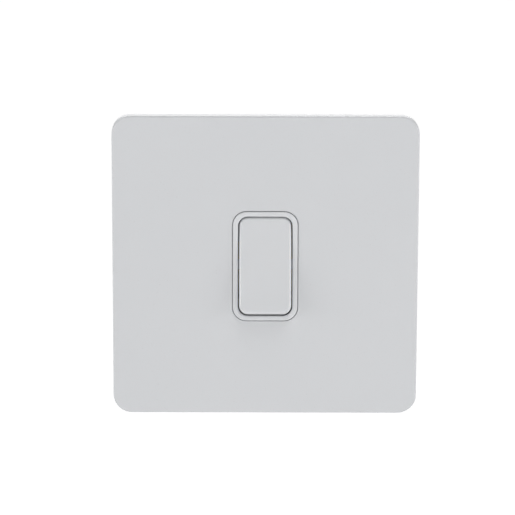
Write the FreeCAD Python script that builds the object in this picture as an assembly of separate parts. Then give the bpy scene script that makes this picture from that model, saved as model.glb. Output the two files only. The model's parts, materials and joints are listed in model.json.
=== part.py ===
"""Single-gang two-way rocker wall switch with a clip-on square plate.

Frame: X to the right seen from the front, Z up, the front faces -Y.
Origin: centre of the plate on the wall plane, midway between the two fixing screws.
Everything with y < 0 stands in front of the wall; everything with y > 0 sits in the wall box.
All sizes are in millimetres and degrees.
"""
import FreeCAD
import Part
import math
import os

# ---------------------------------------------------------------- driving dimensions
# Cover plate: a shallow pressed tray
PLATE_SIZE = 88.0
PLATE_DEPTH = 3.4
PLATE_CORNER_R = 5.4
PLATE_EDGE_R = 0.5
SHEET = 0.9
LINER_THICKNESS = 1.8

# Collar round the rocker
COLLAR_WIDTH = 18.6
COLLAR_HEIGHT = 32.2
COLLAR_CORNER_R = 3.9
COLLAR_EDGE_R = 0.3
COLLAR_PROUD = 0.3
OPENING_CORNER_R = 2.75
OPENING_EDGE_R = 0.45

# Rocker, described at mid travel about a pivot axis along X
PIVOT_Y = -0.5
ROCKER_HALF_WIDTH = 7.5
ROCKER_END_R = 14.56
ROCKER_CORNER_R = 2.5
ROCKER_EDGE_R = 0.9
ROCKER_WALL = 1.3
ROCKER_FACE_FROM_PIVOT = 4.7
ROCKER_DISH_R = 400.0
ROCKER_HALF_THROW = 7.5
TRUNNION_R = 1.5
TRUNNION_END_X = 8.7

# Fixing frame and its two screws
FRAME_SIZE = 79.0
FRAME_CORNER_R = 3.0
FRAME_THICKNESS = 1.5
FIXING_SPACING = 60.3
FIXING_THREAD_R = 1.75
FIXING_HEAD_R = 2.9
FIXING_NECK_R = 1.42
FIXING_HOLE_R = 2.1
FIXING_END_Y = 23.0

# Plate clips
CLIP_HEIGHT = 25.0
CLIP_LENGTH = 7.0
CLIP_SHEET = 0.35
CLIP_BEND_R = 0.6
CLIP_BEND_X = 41.1

# Switch module behind the frame
MODULE_HALF_WIDTH = 12.9
MODULE_TOP_Z = 22.0
MODULE_BODY_TOP_Z = 17.0
MODULE_BOTTOM_Z = -22.5
MODULE_BACK_Y = 19.5
MODULE_WALL = 1.5
MODULE_FLOOR = 1.2
MODULE_BOTTOM_WALL = 2.0
LUG_BACK_Y = 5.0
HOUSING_SCREW_X = 8.0
HOUSING_SCREW_Z = 19.5
HOUSING_SCREW_R = 1.2
BOSS_R = 2.2
BOSS_BACK_Y = 2.0

# See-saw contact on its fulcrum
FULCRUM_Y = 15.0
CONTACT_TILT = 9.0
BLADE_HALF_LENGTH = 10.0
BLADE_HALF_WIDTH = 3.0
BLADE_THICKNESS = 1.2
RIDGE_R = 0.5
RIVET_OFFSET = 8.5
RIVET_R = 1.5
RIVET_HEIGHT = 0.6
RIVET_DOME_R = 4.0
STRIP = 0.8
STRIP_HALF_WIDTH = 2.2
STRIP_LEG_HALF_WIDTH = 2.0

# Plunger between rocker and see-saw
PLUNGER_R = 2.0
NOSE_R = 1.5
NOSE_FROM_PIVOT = 12.6
PLUNGER_BACK_FROM_PIVOT = 4.0
GUIDE_TUBE_R = 3.1
GUIDE_TUBE_END_FROM_PIVOT = 9.5
SPRING_OUTER_R = 1.8
SPRING_WIRE_R = 0.225
SPRING_PITCH = 1.1

# Switch terminals, side by side at the bottom
TERMINAL_X = {"common": -8.0, "l2": 0.0, "l1": 8.0}
TERMINAL_WIDTH = 6.4
TERMINAL_FRONT_Y = 8.5
TERMINAL_Z = (-20.35, -12.85)
TERMINAL_BORE_Y = 11.3
TERMINAL_BORE_TOP_Z = -14.0
TERMINAL_SCREW_Z = -17.0
TERMINAL_SCREW_LENGTH = 5.5
WIRE_BORE_R = 2.0
CLAMP_SCREW_R = 1.75

# Earth terminal, behind the frame at the lower right
EARTH_X = 22.0
EARTH_Z = -26.5
EARTH_HALF = 3.5
EARTH_BLOCK_Y = (0.2, 8.0)
EARTH_BORE_Y = 3.2
EARTH_BORE_TOP_Z = -24.0
EARTH_SCREW_LENGTH = 4.0

# Clearances
RUNNING_FIT = 0.05
STATIC_GAP = 0.05
WINDOW_GAP = 0.2
ROCKER_SIDE_GAP = 0.3
ROCKER_END_GAP = 0.4
TOUCH_GAP = 0.02
WINDOW_FIT = 0.2
DRIVER_HOLE_R = 2.3
WIRE_ENTRY_HALF = 2.6

# How far a cutting shape runs past the surface it opens, and a joined piece sinks into the other
OVERCUT = 1.0
SUNK = 0.3

# ---------------------------------------------------------------- derived dimensions
X_AXIS = FreeCAD.Vector(1, 0, 0)
Y_AXIS = FreeCAD.Vector(0, 1, 0)
Z_AXIS = FreeCAD.Vector(0, 0, 1)
PIVOT = FreeCAD.Vector(0, PIVOT_Y, 0)
FULCRUM = FreeCAD.Vector(0, FULCRUM_Y, 0)
PLATE_INSIDE_Y = SHEET - PLATE_DEPTH
CAVITY_SIZE = PLATE_SIZE - 2 * SHEET
CAVITY_CORNER_R = PLATE_CORNER_R - SHEET
LINER_INSIDE = CAVITY_SIZE - 2 * LINER_THICKNESS
COLLAR_FRONT_Y = -PLATE_DEPTH - COLLAR_PROUD
FRAME_FRONT_Y = -FRAME_THICKNESS
FLANGE_FRONT_Y = FRAME_FRONT_Y - 0.8
CLIP_BEND_Y = FRAME_FRONT_Y - CLIP_SHEET + CLIP_BEND_R
CLIP_STAKE_X = FRAME_SIZE / 2 - 2.5
FIXING_X = (-FIXING_SPACING / 2, FIXING_SPACING / 2)
HOUSING_SCREWS_X = (-HOUSING_SCREW_X, HOUSING_SCREW_X)
MODULE_INSIDE_X = MODULE_HALF_WIDTH - MODULE_WALL
FLOOR_Y = MODULE_BACK_Y - MODULE_FLOOR
STRIP_FRONT_Y = FLOOR_Y - STRIP
BEARING_R = TRUNNION_R + RUNNING_FIT
BEARING_END_X = TRUNNION_END_X + 0.15
ROOF_Y = PIVOT_Y - ROCKER_FACE_FROM_PIVOT + ROCKER_WALL
BLADE_BACK = RIDGE_R + TOUCH_GAP
BLADE_FRONT = BLADE_BACK + BLADE_THICKNESS
PRONG_X = BLADE_HALF_WIDTH + 0.2
STRIP_END_Z = TERMINAL_Z[1] - 1.3


# ---------------------------------------------------------------- shape helpers
def block(x_range, y_range, z_range):
    """Box between two corners, each axis given as (low, high)."""
    size = [high - low for low, high in (x_range, y_range, z_range)]
    corner = FreeCAD.Vector(x_range[0], y_range[0], z_range[0])
    return Part.makeBox(*size, corner)


def around(centre, half):
    """The range that reaches half to each side of centre."""
    return (centre - half, centre + half)


def rod(radius, axis, start, end, centre=(0.0, 0.0)):
    """Cylinder along axis from start to end; centre holds its other two coordinates in X, Y, Z order."""
    others = list(centre)
    point = [start if unit else others.pop(0) for unit in axis]
    return Part.makeCylinder(radius, end - start, FreeCAD.Vector(*point), axis)


def taper(start_r, end_r, start, end, centre):
    """Cone along Y from start to end, centred on (x, z)."""
    base = FreeCAD.Vector(centre[0], start, centre[1])
    return Part.makeCone(start_r, end_r, end - start, base, Y_AXIS)


def joined(first, *others):
    """One solid from touching or overlapping solids."""
    return first.fuse(list(others)).removeSplitter()


def turned(shape, centre, degrees):
    """Copy of shape turned about an axis along X through centre."""
    return shape.rotated(centre, X_AXIS, degrees)


def round_corners(shape, half_width, half_height_at, radius):
    """Fillet the four front-to-back edges where the sides meet the ends."""
    def at_corner(point):
        on_side = abs(abs(point.x) - half_width) < 1e-4
        return on_side and abs(abs(point.z) - half_height_at(point.y)) < 1e-4

    def runs_back(edge):
        ends = [edge.valueAt(t) for t in (edge.FirstParameter, edge.LastParameter)]
        return all(at_corner(point) for point in ends) and abs(ends[0].y - ends[1].y) > 1e-3
    return shape.makeFillet(radius, [edge for edge in shape.Edges if runs_back(edge)])


def slab(width, height, corner_r, front_y, back_y):
    """Rounded rectangle centred on the Y axis, extruded from front_y to back_y."""
    plain = block(around(0, width / 2), (front_y, back_y), around(0, height / 2))
    return round_corners(plain, width / 2, lambda y: height / 2, corner_r)


def swing_room(half_width, end_r, corner_r, front_y, back_y):
    """Space between two flat sides and a cylinder about the rocker's pivot axis."""
    sides = block(around(0, half_width), (front_y, back_y), around(0, end_r))
    ends = rod(end_r, X_AXIS, -half_width, half_width, (PIVOT_Y, 0))
    return round_corners(sides.common(ends), half_width,
                         lambda y: math.sqrt(end_r ** 2 - (y - PIVOT_Y) ** 2), corner_r)


def soften(shape, face_y, radius, inner=False):
    """Fillet the outer (or the smallest inner) outline of the flat face that lies at face_y."""
    flat = [face for face in shape.Faces
            if face.BoundBox.YLength < 1e-4 and abs(face.CenterOfMass.y - face_y) < 1e-4]
    largest = max(flat, key=lambda face: face.BoundBox.DiagonalLength)
    outlines = sorted(largest.Wires, key=lambda wire: wire.BoundBox.DiagonalLength)
    outline = outlines[0] if inner else outlines[-1]
    return shape.makeFillet(radius, outline.Edges)


def mitre(first, second):
    """Offset direction where two segments with unit normals first and second meet."""
    scale = 1 + first[0] * second[0] + first[1] * second[1]
    return ((first[0] + second[0]) / scale, (first[1] + second[1]) / scale)


def bent_strip(points, thickness, x_range):
    """Strip that follows a (y, z) centre line, extruded along X."""
    def normal(a, b):
        length = math.hypot(b[0] - a[0], b[1] - a[1])
        return ((a[1] - b[1]) / length, (b[0] - a[0]) / length)
    normals = [normal(a, b) for a, b in zip(points, points[1:])]
    offsets = normals[:1] + [mitre(m, n) for m, n in zip(normals, normals[1:])] + normals[-1:]
    half = thickness / 2
    one_side = [(p[0] + n[0] * half, p[1] + n[1] * half) for p, n in zip(points, offsets)]
    other_side = [(p[0] - n[0] * half, p[1] - n[1] * half) for p, n in zip(points, offsets)]
    corners = [FreeCAD.Vector(x_range[0], y, z) for y, z in one_side + other_side[::-1]]
    face = Part.Face(Part.makePolygon(corners + corners[:1]))
    return face.extrude(X_AXIS * (x_range[1] - x_range[0]))


def countersink(wide_r, narrow_r, centre):
    """90 degree cone that narrows backwards from the front of the frame."""
    return taper(wide_r, narrow_r, FRAME_FRONT_Y, FRAME_FRONT_Y + wide_r - narrow_r, centre)


def cross_recess(screw, x, z, reach, head_y, floor_y):
    """Cut a cross for a screwdriver into a head, from its outer face at head_y to floor_y."""
    half_slot = reach / 5
    y_range = (min(head_y, floor_y), max(head_y, floor_y))
    for half_x, half_z in ((reach, half_slot), (half_slot, reach)):
        screw = screw.cut(block(around(x, half_x), y_range, around(z, half_z)))
    return screw


def save(name, *solids):
    """Write one node; several solids stay separate inside it."""
    shape = solids[0] if len(solids) == 1 else Part.makeCompound(list(solids))
    shape.exportStep("parts/" + name + ".step")


# ---------------------------------------------------------------- cover plate
def front_plate():
    """Pressed cover with returned edges, a window for the collar and a notch to lever it off."""
    window_edge_r = 0.15
    notch_half = 4.0
    notch_height = 1.1
    shell = slab(PLATE_SIZE, PLATE_SIZE, PLATE_CORNER_R, -PLATE_DEPTH, 0)
    shell = soften(shell, -PLATE_DEPTH, PLATE_EDGE_R)
    shell = shell.cut(slab(CAVITY_SIZE, CAVITY_SIZE, CAVITY_CORNER_R, PLATE_INSIDE_Y, OVERCUT))
    shell = shell.cut(slab(COLLAR_WIDTH + 2 * WINDOW_GAP, COLLAR_HEIGHT + 2 * WINDOW_GAP,
                           COLLAR_CORNER_R + WINDOW_GAP, -2 * PLATE_DEPTH, 0))
    shell = soften(shell, -PLATE_DEPTH, window_edge_r, inner=True)
    return shell.cut(block(around(0, notch_half), (-notch_height, OVERCUT), (-PLATE_SIZE, -CAVITY_SIZE / 2)))


def clip_spots():
    """Side (-1 or +1) and height of each of the four plate clips."""
    return [(side, z) for side in (-1, 1) for z in (-CLIP_HEIGHT, CLIP_HEIGHT)]


def plate_liner():
    """Plastic ring bonded inside the plate; each groove leaves a ledge that a clip snaps behind."""
    back_y = -0.15
    inside_corner_r = 3.5
    front_lip = 0.4
    nose_gap = 0.07
    end_room = 0.6
    groove_y = (PLATE_INSIDE_Y + front_lip, CLIP_BEND_Y + CLIP_BEND_R + nose_gap)
    groove_bottom = (LINER_INSIDE + LINER_THICKNESS) / 2
    half_groove = CLIP_LENGTH / 2 + end_room
    notch_half = 4.5
    notch_height = 1.4
    ring = slab(CAVITY_SIZE, CAVITY_SIZE, CAVITY_CORNER_R, PLATE_INSIDE_Y, back_y)
    ring = ring.cut(slab(LINER_INSIDE, LINER_INSIDE, inside_corner_r, -PLATE_DEPTH, OVERCUT))
    for z in (-CLIP_HEIGHT, CLIP_HEIGHT):
        ring = ring.cut(block(around(0, groove_bottom), groove_y, around(z, half_groove)))
    notch_z = (-CAVITY_SIZE, -LINER_INSIDE / 2 + OVERCUT)
    return ring.cut(block(around(0, notch_half), (-notch_height, OVERCUT), notch_z))


# ---------------------------------------------------------------- fixing frame and what it carries
def mounting_frame():
    """Moulded frame: module window, two countersunk holes, clip seats and the earth terminal's holder."""
    rim_height = 0.5
    rim_width = 1.2
    stake_r = 0.8
    stake_height = 0.6
    seat_gap = 0.3
    catch_room = 1.7
    recess_y = (-0.9, OVERCUT)
    recess_half_z = 5.0
    recess_half_x = MODULE_HALF_WIDTH + catch_room
    window_half_x = MODULE_HALF_WIDTH + WINDOW_FIT
    window_z = (MODULE_BOTTOM_Z - WINDOW_FIT, MODULE_TOP_Z + WINDOW_FIT)
    rim_inside = FRAME_SIZE - 2 * rim_width
    frame = slab(FRAME_SIZE, FRAME_SIZE, FRAME_CORNER_R, FRAME_FRONT_Y - rim_height, 0)
    frame = frame.cut(slab(rim_inside, rim_inside, FRAME_CORNER_R - rim_width, -PLATE_DEPTH, FRAME_FRONT_Y))
    frame = frame.cut(block(around(0, window_half_x), (-PLATE_DEPTH, OVERCUT), window_z))
    frame = frame.cut(block(around(0, recess_half_x), recess_y, around(0, recess_half_z)))
    for x in FIXING_X:
        frame = frame.cut(countersink(FIXING_HEAD_R + STATIC_GAP, FIXING_HOLE_R, (x, 0)))
        frame = frame.cut(rod(FIXING_HOLE_R, Y_AXIS, FRAME_FRONT_Y, OVERCUT, (x, 0)))
    for side, z in clip_spots():
        rim_gap = block(around(side * FRAME_SIZE / 2, rim_width + STATIC_GAP), (-PLATE_DEPTH, FRAME_FRONT_Y),
                        around(z, CLIP_LENGTH / 2 + seat_gap))
        stake = rod(stake_r, Y_AXIS, FRAME_FRONT_Y - stake_height, FRAME_FRONT_Y, (side * CLIP_STAKE_X, z))
        frame = joined(frame.cut(rim_gap), stake)
    for pocket in coring_pockets():
        frame = frame.cut(pocket)
    return with_earth_holder(frame)


def coring_pockets():
    """Shallow square recesses that leave a grid of ribs on the frame's front."""
    half_size = 3.8
    depth = 0.6
    columns = (-31.2, -20.6, -10.3, 0.0, 10.3, 20.6, 31.2)
    rows = (-29.7, -20.1, -10.5, 10.5, 20.1, 29.7)
    margin = 1.3
    clear_of_earth = EARTH_HALF + half_size + margin

    def is_free(x, z):
        beside_module = abs(x) - half_size > MODULE_HALF_WIDTH
        beyond_module = abs(z) - half_size > MODULE_TOP_Z + margin
        beside_earth = max(abs(x - EARTH_X), abs(z - EARTH_Z)) > clear_of_earth
        return (beside_module or beyond_module) and beside_earth
    return [block(around(x, half_size), (FRAME_FRONT_Y, FRAME_FRONT_Y + depth), around(z, half_size))
            for x in columns for z in rows if is_free(x, z)]


def with_earth_holder(frame):
    """Frame plus the box behind it that holds the earth block, open to the front."""
    side_wall = 1.3
    back_wall = 1.5
    reach = EARTH_HALF + side_wall
    pocket = EARTH_HALF + STATIC_GAP
    block_back_y = EARTH_BLOCK_Y[1]
    box = block(around(EARTH_X, reach), (-SUNK, block_back_y + back_wall), around(EARTH_Z, reach))
    cavity_y = (-PLATE_DEPTH, block_back_y + STATIC_GAP)
    cavity = block(around(EARTH_X, pocket), cavity_y, around(EARTH_Z, pocket))
    driver_y = (block_back_y, block_back_y + back_wall + OVERCUT)
    driver_hole = rod(DRIVER_HOLE_R, Y_AXIS, *driver_y, (EARTH_X, EARTH_Z))
    wire_entry = block(around(EARTH_X, WIRE_ENTRY_HALF), around(EARTH_BORE_Y, WIRE_ENTRY_HALF),
                       (EARTH_Z - reach - OVERCUT, EARTH_Z))
    return joined(frame, box).cut(cavity).cut(driver_hole).cut(wire_entry)


def plate_clips():
    """Four C-shaped stainless springs staked to the frame; each nose snaps into a liner groove."""
    leg_start_x = 35.0
    back_leg_start_x = FRAME_SIZE / 2 + WINDOW_FIT
    stake_hole_r = 0.85
    inner_r = CLIP_BEND_R - CLIP_SHEET
    bend = (CLIP_BEND_X, CLIP_BEND_Y)
    clips = []
    for side, z in clip_spots():
        z_range = around(z, CLIP_LENGTH / 2)
        tube = rod(CLIP_BEND_R, Z_AXIS, *z_range, bend).cut(rod(inner_r, Z_AXIS, *z_range, bend))
        nose = tube.common(block((CLIP_BEND_X, CLIP_BEND_X + OVERCUT), (-PLATE_DEPTH, 0), z_range))
        front_y = (CLIP_BEND_Y - CLIP_BEND_R, CLIP_BEND_Y - inner_r)
        back_y = (CLIP_BEND_Y + inner_r, CLIP_BEND_Y + CLIP_BEND_R)
        front_leg = block((leg_start_x, CLIP_BEND_X), front_y, z_range)
        back_leg = block((back_leg_start_x, CLIP_BEND_X), back_y, z_range)
        clip = joined(nose, front_leg, back_leg)
        clip = clip.cut(rod(stake_hole_r, Y_AXIS, -PLATE_DEPTH, 0, (CLIP_STAKE_X, z)))
        clips.append(clip if side > 0 else clip.mirror(FreeCAD.Vector(), X_AXIS))
    return clips


def fixing_screws():
    """Two M3.5 countersunk screws; each neck has the thread's root size up to the wall plane."""
    end_chamfer = 0.5
    recess_depth = 1.1
    recess_reach = 1.7
    screws = []
    for x in FIXING_X:
        head = countersink(FIXING_HEAD_R, FIXING_NECK_R, (x, 0))
        neck = rod(FIXING_NECK_R, Y_AXIS, FRAME_FRONT_Y, SUNK, (x, 0))
        thread_end = FIXING_END_Y - end_chamfer
        thread = rod(FIXING_THREAD_R, Y_AXIS, 0, thread_end, (x, 0))
        point = taper(FIXING_THREAD_R, FIXING_THREAD_R - end_chamfer, thread_end, FIXING_END_Y, (x, 0))
        screw = joined(head, neck, thread, point)
        screws.append(cross_recess(screw, x, 0, recess_reach, FRAME_FRONT_Y, FRAME_FRONT_Y + recess_depth))
    return screws


def earth_spring():
    """Springy strap that carries the earth from the block to the back of the metal plate."""
    thickness = 0.35
    half_width = 2.5
    foot_length = 5.6
    ramp_end = 3.6
    contact_end = 5.6
    lifted_tail = 0.3
    base_y = EARTH_BLOCK_Y[0] - thickness / 2
    top_y = PLATE_INSIDE_Y + TOUCH_GAP + thickness / 2
    bend_z = EARTH_Z - EARTH_HALF + SUNK + foot_length
    path = [(base_y, bend_z - foot_length), (base_y, bend_z), (FRAME_FRONT_Y, bend_z),
            (top_y, bend_z + ramp_end), (top_y, bend_z + contact_end),
            (top_y + lifted_tail, bend_z + contact_end + 1)]
    return bent_strip(path, thickness, around(EARTH_X, half_width))


# ---------------------------------------------------------------- switch module
def switch_cover():
    """Collar and flange in one moulding, with screw bosses and ribs that hold the terminals down."""
    flange_width = 30.0
    flange_height = 48.5
    flange_corner_r = 2.0
    rib_half = 1.2
    rib_z = (-19.6, -17.0)
    inside_y = FRAME_FRONT_Y - SUNK
    collar = slab(COLLAR_WIDTH, COLLAR_HEIGHT, COLLAR_CORNER_R, COLLAR_FRONT_Y, PIVOT_Y)
    collar = soften(collar, COLLAR_FRONT_Y, COLLAR_EDGE_R)
    flange = slab(flange_width, flange_height, flange_corner_r, FLANGE_FRONT_Y, FRAME_FRONT_Y)
    bosses = [rod(BOSS_R, Y_AXIS, inside_y, BOSS_BACK_Y, (x, HOUSING_SCREW_Z)) for x in HOUSING_SCREWS_X]
    ribs = [block(around(x, rib_half), (inside_y, TERMINAL_FRONT_Y), rib_z) for x in TERMINAL_X.values()]
    cover = joined(collar, flange, *bosses, *ribs)
    cover = cover.cut(swing_room(ROCKER_HALF_WIDTH + ROCKER_SIDE_GAP, ROCKER_END_R + ROCKER_END_GAP,
                                 OPENING_CORNER_R, COLLAR_FRONT_Y - OVERCUT, PIVOT_Y + OVERCUT))
    cover = soften(cover, COLLAR_FRONT_Y, OPENING_EDGE_R, inner=True)
    cover = cover.cut(rod(BEARING_R, X_AXIS, -BEARING_END_X, BEARING_END_X, (PIVOT_Y, 0)))
    for x in HOUSING_SCREWS_X:
        thread_y = (FRAME_FRONT_Y, BOSS_BACK_Y + OVERCUT)
        cover = cover.cut(rod(HOUSING_SCREW_R + TOUCH_GAP, Y_AXIS, *thread_y, (x, HOUSING_SCREW_Z)))
    return cover


def snap_catch(side):
    """Wedge on the housing's side that springs behind the frame's window edge."""
    half_length = 4.0
    reach = 0.8
    hook_y = -0.85
    land_y = -0.3
    ramp_end_y = 1.6
    near = side * (MODULE_HALF_WIDTH - SUNK)
    far = side * (MODULE_HALF_WIDTH + reach)
    outline = [FreeCAD.Vector(x, y, -half_length)
               for x, y in ((near, hook_y), (far, hook_y), (far, land_y), (near, ramp_end_y))]
    return Part.Face(Part.makePolygon(outline + outline[:1])).extrude(Z_AXIS * 2 * half_length)


def housing_walls():
    """Open box with rounded outer edges, and the lug above it that takes the two screws."""
    edge_r = 0.8
    outside = block(around(0, MODULE_HALF_WIDTH), (FRAME_FRONT_Y, MODULE_BACK_Y),
                    (MODULE_BOTTOM_Z, MODULE_BODY_TOP_Z))
    rounded = [edge for edge in outside.Edges if edge.BoundBox.YMax > MODULE_BACK_Y - 1e-4]
    outside = outside.makeFillet(edge_r, rounded)
    inside = block(around(0, MODULE_INSIDE_X), (-PLATE_DEPTH, FLOOR_Y),
                   (MODULE_BOTTOM_Z + MODULE_BOTTOM_WALL, MODULE_BODY_TOP_Z - MODULE_WALL))
    lug = block(around(0, MODULE_HALF_WIDTH), (FRAME_FRONT_Y, LUG_BACK_Y),
                (MODULE_BODY_TOP_Z - MODULE_WALL, MODULE_TOP_Z))
    return joined(outside.cut(inside), lug)


def switch_housing():
    """Moulded box with bearing saddles, terminal pockets, driver holes and snap catches."""
    saddle_width = 3.45
    saddle_back_y = 6.0
    saddle_half_z = 2.5
    partition_x = (TERMINAL_X["common"] / 2, TERMINAL_X["l1"] / 2)
    partition_half = 0.7
    partition_z = (MODULE_BOTTOM_Z + MODULE_WALL, TERMINAL_Z[1] + partition_half)
    shank_room = 0.2
    saddles = [block((x, x + saddle_width), (PIVOT_Y + STATIC_GAP, saddle_back_y), around(0, saddle_half_z))
               for x in (-MODULE_INSIDE_X, MODULE_INSIDE_X - saddle_width)]
    partitions = [block(around(x, partition_half), (TERMINAL_FRONT_Y, STRIP_FRONT_Y), partition_z)
                  for x in partition_x]
    housing = joined(housing_walls(), *saddles, *partitions, snap_catch(-1), snap_catch(1))
    skirt_room = slab(COLLAR_WIDTH + 2 * STATIC_GAP, COLLAR_HEIGHT + 2 * STATIC_GAP, COLLAR_CORNER_R,
                      -PLATE_DEPTH, PIVOT_Y + STATIC_GAP)
    bearing = rod(BEARING_R, X_AXIS, -BEARING_END_X, BEARING_END_X, (PIVOT_Y, 0))
    housing = housing.cut(skirt_room).cut(bearing)
    driver_y = (STRIP_FRONT_Y, MODULE_BACK_Y + OVERCUT)
    entry_z = (MODULE_BOTTOM_Z - OVERCUT, MODULE_BOTTOM_Z + MODULE_BOTTOM_WALL + OVERCUT)
    for x in TERMINAL_X.values():
        wire_entry = block(around(x, WIRE_ENTRY_HALF), around(TERMINAL_BORE_Y, WIRE_ENTRY_HALF), entry_z)
        housing = housing.cut(wire_entry).cut(rod(DRIVER_HOLE_R, Y_AXIS, *driver_y, (x, TERMINAL_SCREW_Z)))
    for x in HOUSING_SCREWS_X:
        boss_room = rod(BOSS_R + 2 * STATIC_GAP, Y_AXIS, -PLATE_DEPTH, BOSS_BACK_Y + 2 * STATIC_GAP,
                        (x, HOUSING_SCREW_Z))
        shank_hole = rod(HOUSING_SCREW_R + shank_room, Y_AXIS, 0, LUG_BACK_Y + OVERCUT, (x, HOUSING_SCREW_Z))
        housing = housing.cut(boss_room).cut(shank_hole)
    return housing


def housing_screws():
    """Two pan-head screws from behind into the cover's bosses."""
    head_r = 2.2
    head_height = 1.6
    head_edge_r = 0.5
    recess_reach = 1.4
    recess_depth = 0.9
    head_y = LUG_BACK_Y + head_height
    screws = []
    for x in HOUSING_SCREWS_X:
        shank = rod(HOUSING_SCREW_R, Y_AXIS, FRAME_FRONT_Y + SUNK, LUG_BACK_Y + SUNK, (x, HOUSING_SCREW_Z))
        head = soften(rod(head_r, Y_AXIS, LUG_BACK_Y, head_y, (x, HOUSING_SCREW_Z)), head_y, head_edge_r)
        screw = joined(shank, head)
        screws.append(cross_recess(screw, x, HOUSING_SCREW_Z, recess_reach, head_y, head_y - recess_depth))
    return screws


# ---------------------------------------------------------------- rocker, plunger and spring
def rocker():
    """Hollow key with curved ends, a slightly dished face, two trunnions and the plunger's guide tube."""
    face_y = PIVOT_Y - ROCKER_FACE_FROM_PIVOT
    side_disc_r = 2.3
    web_half = 0.6
    inside_corner_r = 1.0
    body = swing_room(ROCKER_HALF_WIDTH, ROCKER_END_R, ROCKER_CORNER_R, face_y, PIVOT_Y)
    half_height = math.sqrt(ROCKER_END_R ** 2 - ROCKER_FACE_FROM_PIVOT ** 2)
    dish_centre_y = face_y - math.sqrt(ROCKER_DISH_R ** 2 - half_height ** 2)
    body = body.cut(rod(ROCKER_DISH_R, X_AXIS, -TRUNNION_END_X, TRUNNION_END_X, (dish_centre_y, 0)))
    dished_face = min(body.Faces, key=lambda face: face.CenterOfMass.y)
    body = body.makeFillet(ROCKER_EDGE_R, dished_face.Edges)
    side_discs = rod(side_disc_r, X_AXIS, -ROCKER_HALF_WIDTH, ROCKER_HALF_WIDTH, (PIVOT_Y, 0))
    trunnions = rod(TRUNNION_R, X_AXIS, -TRUNNION_END_X, TRUNNION_END_X, (PIVOT_Y, 0))
    inside_half = ROCKER_HALF_WIDTH - ROCKER_WALL
    hollow = swing_room(inside_half, ROCKER_END_R - ROCKER_WALL, inside_corner_r, ROOF_Y,
                        PIVOT_Y + side_disc_r + OVERCUT)
    tube = rod(GUIDE_TUBE_R, Y_AXIS, ROOF_Y - SUNK, PIVOT_Y + GUIDE_TUBE_END_FROM_PIVOT)
    web = block(around(0, inside_half + SUNK), (ROOF_Y - SUNK, PIVOT_Y + TRUNNION_R), around(0, web_half))
    bore = rod(PLUNGER_R + RUNNING_FIT, Y_AXIS, ROOF_Y, FULCRUM_Y)
    shell = joined(body, side_discs, trunnions).cut(hollow)
    return turned(joined(shell, tube, web).cut(bore), PIVOT, -ROCKER_HALF_THROW)


def plunger():
    """Round slider with a ball nose that rides along the see-saw blade."""
    body_stands_out = 0.4
    neck_y = PIVOT_Y + GUIDE_TUBE_END_FROM_PIVOT + body_stands_out
    nose_y = PIVOT_Y + NOSE_FROM_PIVOT
    body = rod(PLUNGER_R, Y_AXIS, PIVOT_Y + PLUNGER_BACK_FROM_PIVOT, neck_y)
    neck = rod(NOSE_R, Y_AXIS, neck_y, nose_y)
    nose = Part.makeSphere(NOSE_R, FreeCAD.Vector(0, nose_y, 0))
    return turned(joined(body, neck, nose), PIVOT, -ROCKER_HALF_THROW)


def plunger_spring():
    """Compression spring between the rocker's roof and the plunger."""
    end_gap = SPRING_WIRE_R + TOUCH_GAP
    start_y = ROOF_Y + end_gap
    length = PIVOT_Y + PLUNGER_BACK_FROM_PIVOT - end_gap - start_y
    coil_r = SPRING_OUTER_R - SPRING_WIRE_R
    helix = Part.Wire(Part.makeHelix(SPRING_PITCH, length, coil_r).Edges)
    section = Part.Wire(Part.makeCircle(SPRING_WIRE_R, FreeCAD.Vector(coil_r, 0, 0), Y_AXIS))
    coil = helix.makePipeShell([section], True, True)
    coil = coil.rotated(FreeCAD.Vector(), X_AXIS, -90).translated(FreeCAD.Vector(0, start_y, 0))
    return turned(coil, PIVOT, -ROCKER_HALF_THROW)


# ---------------------------------------------------------------- contacts
def moving_contact():
    """See-saw blade with a shallow trough that lets the plunger's nose pass over the middle."""
    trough_r = 3.74
    trough_depth = 0.36
    blade = block(around(0, BLADE_HALF_WIDTH), (FULCRUM_Y - BLADE_FRONT, FULCRUM_Y - BLADE_BACK),
                  around(0, BLADE_HALF_LENGTH))
    trough_y = FULCRUM_Y - BLADE_FRONT + trough_depth - trough_r
    blade = blade.cut(rod(trough_r, X_AXIS, -2 * BLADE_HALF_WIDTH, 2 * BLADE_HALF_WIDTH, (trough_y, 0)))
    return turned(blade, FULCRUM, CONTACT_TILT)


def moving_contact_tips():
    """Flat silver rivets on the back of the blade, one at each end."""
    front_y = FULCRUM_Y - BLADE_BACK
    tips = []
    for z in (-RIVET_OFFSET, RIVET_OFFSET):
        tip = rod(RIVET_R, Y_AXIS, front_y, front_y + RIVET_HEIGHT, (0, z))
        tips.append(turned(tip, FULCRUM, CONTACT_TILT))
    return tips


def dome_centre():
    """(y, distance from the middle) of a fixed rivet's dome, which a closed moving rivet just meets."""
    contact_gap = 0.015
    tilt = math.radians(CONTACT_TILT)
    back = RIVET_HEIGHT - BLADE_BACK + RIVET_DOME_R + contact_gap
    y = FULCRUM_Y + back * math.cos(tilt) + RIVET_OFFSET * math.sin(tilt)
    return y, RIVET_OFFSET * math.cos(tilt) - back * math.sin(tilt)


def fixed_contact_tips():
    """Domed silver rivets on the two fixed strips."""
    centre_y, distance = dome_centre()
    tips = []
    for z in (-distance, distance):
        dome = Part.makeSphere(RIVET_DOME_R, FreeCAD.Vector(0, centre_y, z))
        shank = rod(RIVET_R, Y_AXIS, centre_y - RIVET_DOME_R - OVERCUT, STRIP_FRONT_Y, (0, z))
        tips.append(shank.common(dome))
    return tips


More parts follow.
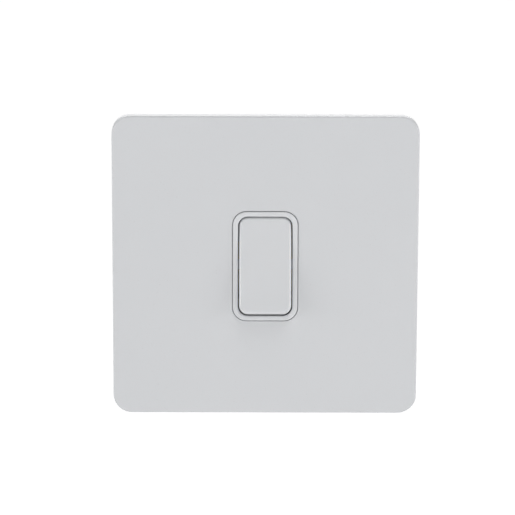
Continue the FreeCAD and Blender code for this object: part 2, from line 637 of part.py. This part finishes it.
def common_bracket():
    """Strip with the fulcrum ridge and two prongs that keep the blade in line."""
    strip_y = (STRIP_FRONT_Y, FLOOR_Y)
    prong_front_y = 12.9
    prong_half_z = 1.2
    leg_x = around(TERMINAL_X["common"], STRIP_LEG_HALF_WIDTH)
    back_y = STRIP_FRONT_Y + SUNK
    base = block((leg_x[0], PRONG_X + STRIP), strip_y, around(0, STRIP_HALF_WIDTH))
    leg = block(leg_x, strip_y, (STRIP_END_Z, 0))
    ridge = rod(RIDGE_R, X_AXIS, -PRONG_X, PRONG_X, (FULCRUM_Y, 0))
    post = block(around(0, PRONG_X), (FULCRUM_Y, back_y), around(0, RIDGE_R))
    prongs = [block((x, x + STRIP), (prong_front_y, back_y), around(0, prong_half_z))
              for x in (-PRONG_X - STRIP, PRONG_X)]
    return joined(base, leg, ridge, post, *prongs)


def fixed_contact_l2():
    """Strip from the lower rivet down to the middle terminal."""
    top_z = STRIP_HALF_WIDTH - dome_centre()[1]
    return block(around(0, STRIP_HALF_WIDTH), (STRIP_FRONT_Y, FLOOR_Y), (STRIP_END_Z, top_z))


def fixed_contact_l1():
    """Strip from the upper rivet, round the side and down to the right terminal."""
    rivet_z = dome_centre()[1]
    strip_y = (STRIP_FRONT_Y, FLOOR_Y)
    leg_x = around(TERMINAL_X["l1"], STRIP_LEG_HALF_WIDTH)
    arm = block((-STRIP_HALF_WIDTH, leg_x[1]), strip_y, around(rivet_z, STRIP_HALF_WIDTH))
    leg = block(leg_x, strip_y, (STRIP_END_Z, rivet_z))
    return joined(arm, leg)


# ---------------------------------------------------------------- terminals
def clamp_block(solid, bore_z, centre, screw_z):
    """Drill a wire bore that opens downwards at (x, y) = centre, and a clamping screw's hole from behind."""
    wire_bore = rod(WIRE_BORE_R, Z_AXIS, *bore_z, centre)
    back_y = solid.BoundBox.YMax + OVERCUT
    screw_hole = rod(CLAMP_SCREW_R + RUNNING_FIT, Y_AXIS, centre[1], back_y, (centre[0], screw_z))
    return solid.cut(wire_bore).cut(screw_hole)


def clamp_screw(centre, screw_z, length):
    """Headless slotted screw, backed out until it is just clear of the wire bore at (x, y) = centre."""
    tip_chamfer = 0.3
    slot_depth = 0.9
    slot_half = 0.35
    backed_off = 0.1
    tip_y = centre[1] + WIRE_BORE_R + backed_off
    end_y = tip_y + length
    axis_at = (centre[0], screw_z)
    tip = taper(CLAMP_SCREW_R - tip_chamfer, CLAMP_SCREW_R, tip_y, tip_y + tip_chamfer, axis_at)
    body = rod(CLAMP_SCREW_R, Y_AXIS, tip_y + tip_chamfer, end_y, axis_at)
    slot_y = (end_y - slot_depth, end_y + OVERCUT)
    slot = block(around(centre[0], 2 * CLAMP_SCREW_R), slot_y, around(screw_z, slot_half))
    return joined(body, tip).cut(slot)


def terminal_block(x):
    """Brass pillar of one switch terminal."""
    pillar = block(around(x, TERMINAL_WIDTH / 2), (TERMINAL_FRONT_Y, STRIP_FRONT_Y), TERMINAL_Z)
    bore_z = (TERMINAL_Z[0] - OVERCUT, TERMINAL_BORE_TOP_Z)
    return clamp_block(pillar, bore_z, (x, TERMINAL_BORE_Y), TERMINAL_SCREW_Z)


def earth_block():
    """Brass block of the earth terminal."""
    cube = block(around(EARTH_X, EARTH_HALF), EARTH_BLOCK_Y, around(EARTH_Z, EARTH_HALF))
    bore_z = (EARTH_Z - EARTH_HALF - OVERCUT, EARTH_BORE_TOP_Z)
    return clamp_block(cube, bore_z, (EARTH_X, EARTH_BORE_Y), EARTH_Z)


# ---------------------------------------------------------------- write every node
os.makedirs("parts", exist_ok=True)
save("front_plate", front_plate())
save("plate_liner", plate_liner())
save("mounting_frame", mounting_frame())
save("plate_clips", *plate_clips())
save("fixing_screws", *fixing_screws())
save("earth_block", earth_block())
save("earth_screw", clamp_screw((EARTH_X, EARTH_BORE_Y), EARTH_Z, EARTH_SCREW_LENGTH))
save("earth_spring", earth_spring())
save("switch_cover", switch_cover())
save("switch_housing", switch_housing())
save("housing_screws", *housing_screws())
save("rocker", rocker())
save("plunger", plunger())
save("plunger_spring", plunger_spring())
save("moving_contact", moving_contact())
save("moving_contact_tips", *moving_contact_tips())
save("common_bracket", common_bracket())
save("fixed_contact_l1", fixed_contact_l1())
save("fixed_contact_l2", fixed_contact_l2())
save("fixed_contact_tips", *fixed_contact_tips())
for name, x in TERMINAL_X.items():
    screw = clamp_screw((x, TERMINAL_BORE_Y), TERMINAL_SCREW_Z, TERMINAL_SCREW_LENGTH)
    save("terminal_block_" + name, terminal_block(x))
    save("terminal_screw_" + name, screw)
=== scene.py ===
"""Looks for the rocker wall switch: materials, threaded screws, plunger spring, floor, light and camera."""
import bmesh
import bpy
import json
import math
from mathutils import Matrix, Vector


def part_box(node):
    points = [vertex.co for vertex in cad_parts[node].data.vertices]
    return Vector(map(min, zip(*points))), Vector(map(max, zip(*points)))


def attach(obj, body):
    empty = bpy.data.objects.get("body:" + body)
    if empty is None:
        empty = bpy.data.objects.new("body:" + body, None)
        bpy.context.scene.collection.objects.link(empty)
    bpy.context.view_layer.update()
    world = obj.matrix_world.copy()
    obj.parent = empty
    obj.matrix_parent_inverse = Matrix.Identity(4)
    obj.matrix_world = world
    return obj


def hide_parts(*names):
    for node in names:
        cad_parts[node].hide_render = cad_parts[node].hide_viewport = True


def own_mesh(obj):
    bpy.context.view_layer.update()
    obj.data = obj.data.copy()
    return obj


MM = 0.001

# Camera: where it stands round the object in degrees and metres, what it looks at and its lens in mm
CAMERA_AZIMUTH = -0.18
CAMERA_ELEVATION = 14.0
CAMERA_ROLL = 0.17
CAMERA_DISTANCE = 0.9161
CAMERA_TARGET = Vector((-2.22, 0.5, 1.69)) * MM
CAMERA_LENS = 221.6

# Floor, in metres. Its glow is painted light and grows from NEAR_GLOW to FAR_GLOW between the two distances;
# the dim glow under the switch is a painted pool of shade
FLOOR_DROP = 0.35
FLOOR_HALF = 6.0
NEAR_GLOW = 0.15
FAR_GLOW = 0.80
GLOW_START = 0.3
GLOW_FULL = 0.9

# Light. A soft box is its place and the length of its side in metres, and its power in watts
ROOM_LIGHT = 0.22
SOFT_BOXES = {"overhead": ((0.15, -0.33, 0.85), 0.4, 2.8),
              "right": ((0.68, -0.24, 0.08), 0.3, 1.4),
              "left": ((-0.68, -0.24, 0.08), 0.3, 1.6),
              "behind": ((0.0, 0.7, 0.35), 0.6, 2.7),
              "under": ((0.05, -0.36, -0.275), 0.13, 0.15)}

# Linear grey value of each white moulding; the collar's is painted lighter than the rocker's as painted
# light, though both are the same moulding
ROCKER_WHITE = 0.71
COLLAR_PAINTED_LIGHT_WHITE = 0.72

# Metal pieces are shaded smooth up to this angle between faces, in degrees
SHARP_ANGLE = 28

# Fixing screws, in millimetres: M3.5 coarse thread and its cross recess
SCREW_X = 30.15
HEAD_EDGE = 0.08
THREAD_R = 1.75
ROOT_R = 1.42
PITCH = 0.6
THREAD_FLAT = 0.12
POINT_CHAMFER = 0.5
RINGS_PER_TURN = 10
SCREW_SIDES = 40
RECESS_REACH = 1.6
RECESS_HALF_SLOT = 0.36
RECESS_DEPTH = 1.0
RECESS_TAPER = 0.55

# Plunger spring, in millimetres and degrees. It fills SPRING_ROOM_Y along the stem before the stem is tilted
PIVOT = Vector((0, -0.5, 0))
STEM_TILT = -7.5
SPRING_ROOM_Y = (-3.9, 3.5)
SPRING_COIL_R = 1.575
SPRING_WIRE_R = 0.225
SPRING_TURNS = 8
CLOSED_TURNS = 1.2
SPRING_GAP = 0.02
STEPS_PER_TURN = 32
WIRE_SIDES = 10

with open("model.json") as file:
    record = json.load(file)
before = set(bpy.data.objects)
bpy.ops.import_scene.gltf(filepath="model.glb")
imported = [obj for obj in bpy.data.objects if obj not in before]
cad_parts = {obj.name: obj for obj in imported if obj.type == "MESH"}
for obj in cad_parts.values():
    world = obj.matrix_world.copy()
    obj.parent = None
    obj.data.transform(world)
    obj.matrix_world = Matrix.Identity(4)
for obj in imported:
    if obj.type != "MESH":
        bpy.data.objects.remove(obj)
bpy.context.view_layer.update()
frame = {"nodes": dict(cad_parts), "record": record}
nodes = frame["nodes"]


# ---------------------------------------------------------------- node helpers
class Shading:
    """Short names for building one material's nodes."""

    def __init__(self, name):
        self.material = bpy.data.materials.new(name)
        self.material.use_nodes = True
        self.tree = self.material.node_tree
        self.shader = self.tree.nodes["Principled BSDF"]
        self.place = self.tree.nodes.new("ShaderNodeTexCoord").outputs["Object"]

    def node(self, kind, inputs=None, **settings):
        """New node; inputs are values or sockets by name, settings are the node's own properties."""
        made = self.tree.nodes.new("ShaderNode" + kind)
        for key, value in settings.items():
            setattr(made, key, value)
        for key, value in (inputs or {}).items():
            self.put(made.inputs[key], value)
        return made

    def put(self, socket, value):
        """Link value to socket if it is a socket too, or set it as the socket's value."""
        if isinstance(value, bpy.types.NodeSocket):
            self.tree.links.new(value, socket)
        else:
            socket.default_value = value

    def set(self, **values):
        """Inputs of the shader by name, with an underscore for each space."""
        for key, value in values.items():
            self.put(self.shader.inputs[key.replace("_", " ")], value)

    def stretched(self, scale):
        """Place scaled along each axis: a pattern reaches further along an axis with a small scale."""
        return self.node("Mapping", {"Vector": self.place, "Scale": scale}).outputs["Vector"]

    def noise(self, size_mm, detail=2.0, roughness=0.5, vector=None):
        """Noise between 0 and 1 whose features are about size_mm across."""
        made = self.node("TexNoise", {"Vector": vector or self.place, "Scale": 1 / (size_mm * MM),
                                      "Detail": detail, "Roughness": roughness})
        return made.outputs["Fac"]

    def ramp(self, value, low, high, low_at=0.0, high_at=1.0):
        """Value that runs from low to high while the given one runs from low_at to high_at."""
        made = self.node("MapRange", {"Value": value, "From Min": low_at, "From Max": high_at,
                                      "To Min": low, "To Max": high})
        return made.outputs["Result"]

    def mix(self, fac, first, second):
        """Colour between first and second."""
        made = self.node("Mix", data_type="RGBA")
        for socket, value in ((made.inputs[0], fac), (made.inputs[6], first), (made.inputs[7], second)):
            self.put(socket, value)
        return made.outputs[2]

    def bump(self, height, depth_mm, normal=None):
        """Surface relief: height 0 to 1 spans depth_mm."""
        made = self.node("Bump", {"Height": height, "Distance": depth_mm * MM})
        if normal is not None:
            self.put(made.inputs["Normal"], normal)
        return made.outputs["Normal"]


def grey(value, warmth=0.0):
    """Nearly neutral linear colour; positive warmth is yellower, negative is bluer."""
    return (value * (1 + warmth), value, value * (1 - 1.6 * warmth), 1.0)


# ---------------------------------------------------------------- materials
def plate_paint():
    """Satin white stove paint: fine orange peel, a few tiny nibs and a faint drift of tone."""
    s = Shading("plate_paint")
    drift = s.noise(size_mm=30.0, detail=3.0)
    nibs = s.ramp(s.noise(size_mm=0.35, detail=1.0), 0.0, 1.0, low_at=0.70, high_at=0.76)
    tone = s.mix(drift, grey(0.665, -0.017), grey(0.685, -0.014))
    s.set(Base_Color=s.mix(nibs, tone, grey(0.63, -0.012)))
    s.set(Roughness=s.ramp(s.noise(size_mm=1.2), 0.36, 0.44), Specular_IOR_Level=0.5)
    peel = s.bump(s.noise(size_mm=0.9, detail=3.0), depth_mm=0.004)
    s.set(Normal=s.bump(nibs, depth_mm=0.003, normal=peel))
    return s.material


def white_moulding(name, value):
    """White urea moulding: soft sheen, very fine grain and a trace of translucency."""
    s = Shading(name)
    cloud = s.noise(size_mm=12.0, detail=3.0)
    s.set(Base_Color=s.mix(cloud, grey(value - 0.01, -0.016), grey(value + 0.01, -0.013)))
    s.set(Roughness=s.ramp(s.noise(size_mm=0.8), 0.20, 0.26))
    s.set(Normal=s.bump(s.noise(size_mm=0.25), depth_mm=0.0015))
    s.set(Subsurface_Weight=0.06, Subsurface_Radius=(1.0, 0.9, 0.8), Subsurface_Scale=0.5 * MM)
    return s.material


def moulded(name, value, warmth, roughness, grain_mm):
    """Plain moulded plastic with a spark-eroded grain, light flow marks and slightly rounded edges."""
    s = Shading(name)
    flow = s.noise(size_mm=7.0, detail=4.0, vector=s.stretched((1.0, 1.0, 0.35)))
    s.set(Base_Color=s.mix(flow, grey(value * 0.95, warmth), grey(value * 1.03, warmth)))
    s.set(Roughness=s.ramp(s.noise(grain_mm), roughness - 0.05, roughness + 0.08))
    rounded = s.node("Bevel", {"Radius": 0.25 * MM}, samples=6).outputs["Normal"]
    grain = s.noise(grain_mm, detail=3.0, roughness=0.65)
    s.set(Normal=s.bump(grain, depth_mm=0.012, normal=rounded))
    return s.material


def metal(name, colour, tarnish, roughness, grain):
    """Bare metal with light tarnish in patches; its fine lines are stretched along grain's small axis."""
    s = Shading(name)
    lines = s.noise(size_mm=0.4, detail=3.0, vector=s.stretched(grain))
    patchy = s.noise(size_mm=3.0, detail=4.0, roughness=0.6)
    patches = s.ramp(patchy, 0.0, 1.0, low_at=0.42, high_at=0.72)
    s.set(Base_Color=s.mix(patches, colour, tarnish), Metallic=1.0)
    s.set(Roughness=s.ramp(lines, roughness - 0.08, roughness + 0.12))
    s.set(Normal=s.bump(lines, depth_mm=0.004))
    return s.material


def floor_paper():
    """White studio sweep that glows as painted light: faintly under the switch, a painted pool of shade, and
    brightly all round.
    """
    s = Shading("floor_paper")
    s.set(Base_Color=s.mix(s.noise(size_mm=60.0), grey(0.90), grey(0.92)), Roughness=0.9)
    from_middle = s.node("VectorMath", {0: s.place}, operation="LENGTH").outputs["Value"]
    # Painted light: the floor glows, and its dim glow near the middle is a painted pool of shade under the
    # switch
    glow = s.ramp(from_middle, NEAR_GLOW, FAR_GLOW, low_at=GLOW_START, high_at=GLOW_FULL)
    s.set(Emission_Color=grey(1.0), Emission_Strength=glow)
    s.set(Normal=s.bump(s.noise(size_mm=2.0), depth_mm=0.02))
    return s.material


# Fine lines of a metal: none, or drawn out along the axis with the small number
EVEN = (1.0, 1.0, 1.0)
ALONG_Y = (1.0, 0.1, 1.0)
ALONG_Z = (1.0, 1.0, 0.1)

# Bare colours and what they tarnish to
BRASS = (0.78, 0.56, 0.24, 1.0)
DULL_BRASS = (0.52, 0.36, 0.17, 1.0)
BRONZE = (0.74, 0.44, 0.26, 1.0)
DULL_BRONZE = (0.48, 0.28, 0.16, 1.0)

finishes = {
    "plate_paint": plate_paint(),
    "white_moulding": white_moulding("white_moulding", ROCKER_WHITE),
    "frame_plastic": moulded("frame_plastic", 0.50, 0.0, roughness=0.55, grain_mm=0.5),
    "housing_plastic": moulded("housing_plastic", 0.72, 0.015, roughness=0.48, grain_mm=0.5),
    "nose_plastic": moulded("nose_plastic", 0.78, 0.03, roughness=0.35, grain_mm=0.8),
    "spring_steel": metal("spring_steel", grey(0.62), grey(0.45, 0.03), 0.28, grain=ALONG_Z),
    "zinc_steel": metal("zinc_steel", grey(0.56, -0.02), grey(0.42, 0.02), 0.30, grain=EVEN),
    "terminal_brass": metal("terminal_brass", BRASS, DULL_BRASS, 0.30, grain=ALONG_Y),
    "bronze": metal("bronze", BRONZE, DULL_BRONZE, 0.30, grain=ALONG_Z),
    "contact_silver": metal("contact_silver", grey(0.80), grey(0.55, 0.04), 0.25, grain=EVEN),
}


def dress_cad_nodes():
    """Give every CAD node the finish of its material slot; the collar's copy of the moulding is painted
    lighter, as painted light.
    """
    for entry in frame["record"]["subparts"]:
        slots = nodes[entry["node"]].data.materials
        slots.clear()
        slots.append(finishes[entry["material_slot"]])
    # Painted light: the collar uses the rocker's white moulding, made lighter than the rocker's
    nodes["switch_cover"].data.materials[0] = white_moulding("collar_moulding_painted_lighter", COLLAR_PAINTED_LIGHT_WHITE)


# ---------------------------------------------------------------- mesh helpers
def add_object(name, data):
    """New object in the scene, at the origin."""
    made = bpy.data.objects.new(name, data)
    bpy.context.scene.collection.objects.link(made)
    return made


def join_rings(shape, first, second):
    """Quads between two closed rings with the same number of vertices."""
    for i in range(len(first)):
        j = (i + 1) % len(first)
        shape.faces.new((first[i], first[j], second[j], second[i]))


def metal_piece(name, shape, slot, body):
    """Piece on body, in the slot's finish, smooth except along its real edges."""
    bmesh.ops.recalc_face_normals(shape, faces=shape.faces)
    mesh = bpy.data.meshes.new(name)
    shape.to_mesh(mesh)
    shape.free()
    mesh.shade_smooth()
    mesh.set_sharp_from_angle(angle=math.radians(SHARP_ANGLE))
    mesh.materials.append(finishes[slot])
    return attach(add_object(name, mesh), body)


# ---------------------------------------------------------------- fixing screws
def thread_height(along, angle):
    """Height of the V thread, from 0 at its root to 1 at its crest."""
    phase = (along / PITCH - angle / math.tau) % 1.0
    flank = abs(2 * phase - 1)
    return min(max((flank - THREAD_FLAT) / (1 - 2 * THREAD_FLAT), 0.0), 1.0)


def screw_rings(head_y, head_r, end_y):
    """(y, radius at the root, radius at the crest) of every ring from the head's face to the point."""
    face_r = head_r - HEAD_EDGE
    rings = [(head_y, face_r, face_r), (head_y + HEAD_EDGE, head_r, head_r),
             (head_y + head_r - ROOT_R, ROOT_R, ROOT_R), (0.0, ROOT_R, ROOT_R)]
    turned_length = end_y - POINT_CHAMFER
    count = round(turned_length / PITCH * RINGS_PER_TURN)
    for i in range(1, count + 1):
        y = turned_length * i / count
        rings.append((y, ROOT_R, ROOT_R + (THREAD_R - ROOT_R) * min(y / PITCH, 1.0)))
    tip_r = THREAD_R - POINT_CHAMFER
    return rings + [(end_y, tip_r, tip_r)]


def cut_recess(screw, rim):
    """Close the head's face round a tapered cross recess."""
    reach, half = RECESS_REACH, RECESS_HALF_SLOT
    cross = [(reach, half), (half, half), (half, reach), (-half, reach), (-half, half), (-reach, half),
             (-reach, -half), (-half, -half), (-half, -reach), (half, -reach), (half, -half), (reach, -half)]
    outline = [Vector((x, 0, z)) for x, z in cross]
    centre = sum((vert.co for vert in rim), Vector()) / len(rim)
    depth = Vector((0, RECESS_DEPTH, 0))
    mouth = [screw.verts.new(centre + corner * MM) for corner in outline]
    base = [screw.verts.new(centre + (corner * RECESS_TAPER + depth) * MM) for corner in outline]
    edges = [screw.edges.get(pair) or screw.edges.new(pair)
             for loop in (rim, mouth) for pair in zip(loop, loop[1:] + loop[:1])]
    bmesh.ops.triangle_fill(screw, edges=edges, use_beauty=True)
    join_rings(screw, mouth, base)
    screw.faces.new(base)


def fixing_screw(name, x, head_y, head_r, end_y):
    """Countersunk screw with a helical thread, turned ring by ring from the head to the point."""
    screw = bmesh.new()
    angles = [math.tau * side / SCREW_SIDES for side in range(SCREW_SIDES)]
    rings = []
    for y, root_r, crest_r in screw_rings(head_y, head_r, end_y):
        radii = [root_r + (crest_r - root_r) * thread_height(y, angle) for angle in angles]
        rings.append([screw.verts.new(Vector((x + r * math.cos(angle), y, r * math.sin(angle))) * MM)
                      for r, angle in zip(radii, angles)])
    for first, second in zip(rings, rings[1:]):
        join_rings(screw, first, second)
    cut_recess(screw, rings[0])
    screw.faces.new(rings[-1])
    return metal_piece(name, screw, "zinc_steel", "base")


def fixing_screws():
    """Both threaded screws, sized by the plain ones they stand for."""
    low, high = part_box("fixing_screws")
    head_y, head_r, end_y = low.y / MM, high.z / MM, high.y / MM
    left = fixing_screw("fixing_screw_left", -SCREW_X, head_y, head_r, end_y)
    fixing_screw("fixing_screw_right", SCREW_X, head_y, head_r, end_y)
    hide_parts("fixing_screws")


# ---------------------------------------------------------------- plunger spring
def spring_advance(turn, length):
    """Distance along the stem after so many turns; the turns at both ends lie against each other."""
    closed_pitch = 2 * SPRING_WIRE_R + SPRING_GAP
    if turn <= CLOSED_TURNS:
        return turn * closed_pitch
    if turn >= SPRING_TURNS - CLOSED_TURNS:
        return length - (SPRING_TURNS - turn) * closed_pitch
    share = (turn - CLOSED_TURNS) / (SPRING_TURNS - 2 * CLOSED_TURNS)
    return CLOSED_TURNS * closed_pitch + share * (length - 2 * CLOSED_TURNS * closed_pitch)


def on_stem(point, tilt):
    """Point given for an upright stem, turned about the pivot with it and brought to metres."""
    return (PIVOT + tilt @ (point - PIVOT)) * MM


def coil(tilt):
    """Round wire wound along the stem that tilt turns from the Y axis, as a closed mesh in metres."""
    near, far = SPRING_ROOM_Y
    start = near + SPRING_WIRE_R + SPRING_GAP
    length = far - near - 2 * (SPRING_WIRE_R + SPRING_GAP)
    wire = bmesh.new()
    rings = []
    for step in range(SPRING_TURNS * STEPS_PER_TURN + 1):
        turn = step / STEPS_PER_TURN
        outwards = Vector((math.cos(math.tau * turn), 0, math.sin(math.tau * turn)))
        centre = outwards * SPRING_COIL_R + Vector((0, start + spring_advance(turn, length), 0))
        ring = []
        for side in range(WIRE_SIDES):
            angle = math.tau * side / WIRE_SIDES
            across = outwards * math.cos(angle) + Vector((0, math.sin(angle), 0))
            ring.append(wire.verts.new(on_stem(centre + across * SPRING_WIRE_R, tilt)))
        rings.append(ring)
    for first, second in zip(rings, rings[1:]):
        join_rings(wire, first, second)
    for end in (rings[0], rings[-1]):
        wire.faces.new(end)
    return wire


def plunger_spring():
    """Compression spring with closed ends, wound round the tilted stem and carried by the rocker body."""
    tilt = Matrix.Rotation(math.radians(STEM_TILT), 3, "X")
    spring = metal_piece("coiled_spring", coil(tilt), "spring_steel", "rocker_body")
    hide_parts("plunger_spring")
    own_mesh(spring)


# ---------------------------------------------------------------- floor, light and camera
def floor():
    """Wide pale sweep well below the switch, which hangs clear of it as on a stand."""
    grid = bmesh.new()
    bmesh.ops.create_grid(grid, x_segments=1, y_segments=1, size=FLOOR_HALF)
    mesh = bpy.data.meshes.new("floor")
    grid.to_mesh(mesh)
    grid.free()
    sweep = add_object("floor", mesh)
    sweep.location.z = -FLOOR_DROP
    mesh.materials.append(floor_paper())


def soft_box(name, place, size, power):
    """Square light at place, facing the switch."""
    light = bpy.data.lights.new(name, "AREA")
    light.shape = "SQUARE"
    light.size = size
    light.energy = power
    lamp = add_object(name, light)
    lamp.location = place
    lamp.rotation_euler = (-Vector(place)).to_track_quat("-Z", "Y").to_euler()


def studio():
    """White surroundings with soft boxes above, at both sides, behind, and in front near the floor."""
    world = bpy.data.worlds.new("studio")
    world.use_nodes = True
    background = world.node_tree.nodes["Background"]
    background.inputs["Color"].default_value = grey(1.0)
    background.inputs["Strength"].default_value = ROOM_LIGHT
    bpy.context.scene.world = world
    bpy.context.scene.view_settings.view_transform = "Standard"
    for name, (place, size, power) in SOFT_BOXES.items():
        soft_box(name, place, size, power)


def camera():
    """Long lens from slightly above, level apart from a trace of roll."""
    azimuth = math.radians(CAMERA_AZIMUTH)
    elevation = math.radians(CAMERA_ELEVATION)
    back = Vector((math.sin(azimuth) * math.cos(elevation), -math.cos(azimuth) * math.cos(elevation),
                   math.sin(elevation)))
    lens = bpy.data.cameras.new("camera")
    lens.lens = CAMERA_LENS
    made = add_object("camera", lens)
    turn = back.to_track_quat("Z", "Y").to_matrix().to_4x4()
    made.matrix_world = (Matrix.Translation(CAMERA_TARGET + back * CAMERA_DISTANCE) @ turn
                         @ Matrix.Rotation(math.radians(CAMERA_ROLL), 4, "Z"))
    bpy.context.scene.camera = made


dress_cad_nodes()
fixing_screws()
plunger_spring()
floor()
studio()
camera()
